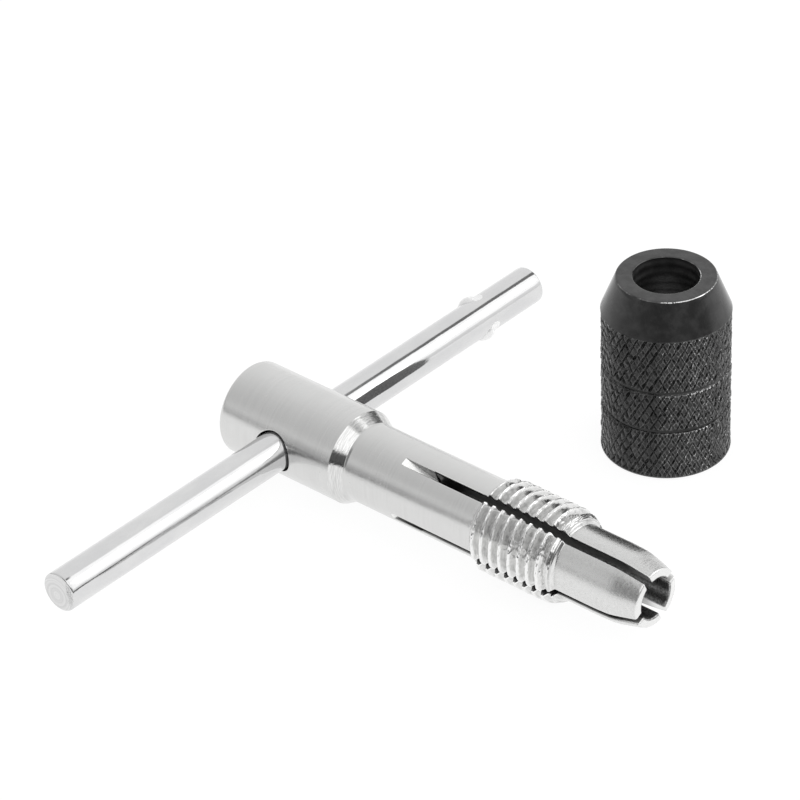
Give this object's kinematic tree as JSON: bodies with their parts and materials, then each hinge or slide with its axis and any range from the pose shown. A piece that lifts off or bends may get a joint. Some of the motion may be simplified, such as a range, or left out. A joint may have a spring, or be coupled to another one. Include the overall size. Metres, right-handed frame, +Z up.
{
  "type": "tap wrench",
  "caption": "T-handle tap wrench: turned spindle with a split threaded collet, sliding tommy bar through its head, and a separate knurled chuck nut standing beside it.",
  "frame": {"origin": "On the surface that the tool lies on, under the middle of the spindle and of its bar; the centre of the bottom of the bounding box.", "axes": "+X along the spindle from the head to the collet, +Y along the tommy bar to the end with the swaged ears, +Z up."},
  "size_m": [0.0636, 0.085, 0.0244],
  "materials": {
    "satin_steel": "satin turned steel with a bright nickel flash",
    "bar_chrome": "polished bright rod",
    "black_oxide": "black oxide on turned and knurled steel, edges worn bright"
  },
  "bodies": {
    "spindle": {"spindle": "satin_steel"},
    "jaw_1": {"jaw_1": "satin_steel"},
    "jaw_2": {"jaw_2": "satin_steel"},
    "jaw_3": {"jaw_3": "satin_steel"},
    "jaw_4": {"jaw_4": "satin_steel"},
    "tommy_bar": {"tommy_bar": "bar_chrome"},
    "chuck_nut": {"chuck_nut": "black_oxide"}
  },
  "joints": [
    {"name": "jaw_1_flex", "type": "hinge", "parent": "spindle", "child": "jaw_1", "pos_m": [-0.00025, 0.0013, 0.00957], "axis": [0, 0.9397, -0.342], "range_deg": [0, 1.1], "stiffness_Nm_per_rad": 1},
    {"name": "jaw_2_flex", "type": "hinge", "parent": "spindle", "child": "jaw_2", "pos_m": [-0.00025, -0.00357, 0.0073], "axis": [0, 0.342, 0.9397], "range_deg": [0, 1.1], "stiffness_Nm_per_rad": 1},
    {"name": "jaw_3_flex", "type": "hinge", "parent": "spindle", "child": "jaw_3", "pos_m": [-0.00025, -0.0013, 0.00243], "axis": [0, -0.9397, 0.342], "range_deg": [0, 1.1], "stiffness_Nm_per_rad": 1},
    {"name": "jaw_4_flex", "type": "hinge", "parent": "spindle", "child": "jaw_4", "pos_m": [-0.00025, 0.00357, 0.0047], "axis": [0, -0.342, -0.9397], "range_deg": [0, 1.1], "stiffness_Nm_per_rad": 1},
    {"name": "bar_slide", "type": "slide", "parent": "spindle", "child": "tommy_bar", "axis": [0, 1, 0], "range_m": [-0.0245, 0.035]},
    {"name": "nut_lift", "type": "slide", "parent": "spindle", "child": "chuck_nut", "axis": [0, 0, 1], "range_m": [0, 0.03]}
  ],
  "couplings": [
    {"joint": "jaw_2_flex", "follows": "jaw_1_flex", "ratio": 1},
    {"joint": "jaw_3_flex", "follows": "jaw_1_flex", "ratio": 1},
    {"joint": "jaw_4_flex", "follows": "jaw_1_flex", "ratio": 1}
  ]
}
